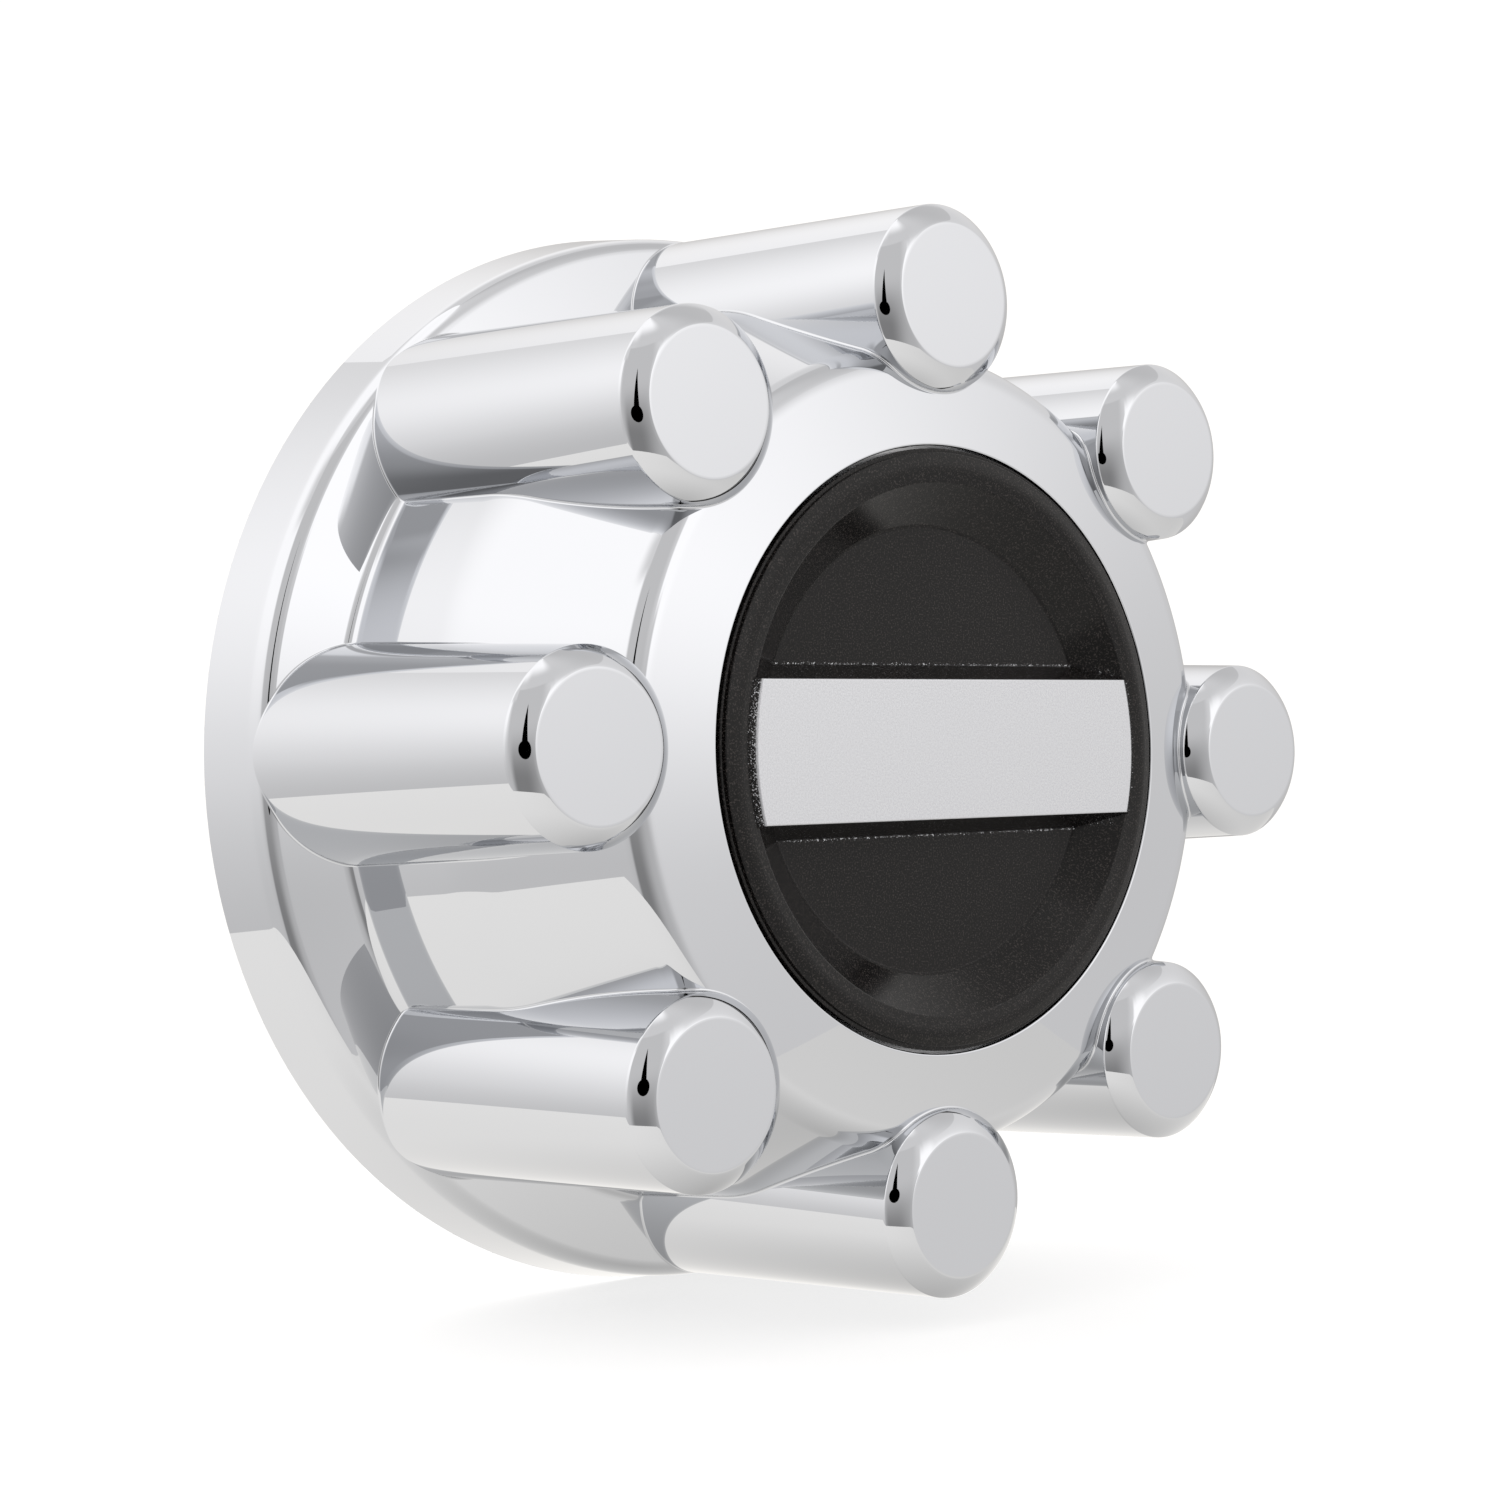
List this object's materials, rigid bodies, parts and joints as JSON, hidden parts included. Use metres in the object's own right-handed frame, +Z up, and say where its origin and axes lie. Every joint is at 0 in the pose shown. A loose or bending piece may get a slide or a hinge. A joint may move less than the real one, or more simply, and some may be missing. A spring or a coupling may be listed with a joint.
{
  "type": "wheel center cap",
  "caption": "Chrome wheel center cap: a skirt, a drafted barrel, closed lug covers on the nut circle and a round black insert crossed by a raised silver bar.",
  "frame": {"origin": "centre of the nut circle, in the plane of the skirt's back edge, where the cap meets the wheel", "axes": "-Y forward along the cap's axis, away from the wheel; +Z up, through a lug cover; +X to the viewer's right"},
  "size_m": [0.216, 0.09, 0.216],
  "materials": {
    "chrome_shell": "bright mirror plating",
    "black_insert": "satin near-black moulding with a fine silver paint on its bar"
  },
  "bodies": {
    "root": {"shell": "chrome_shell", "insert": "black_insert"}
  },
  "joints": []
}
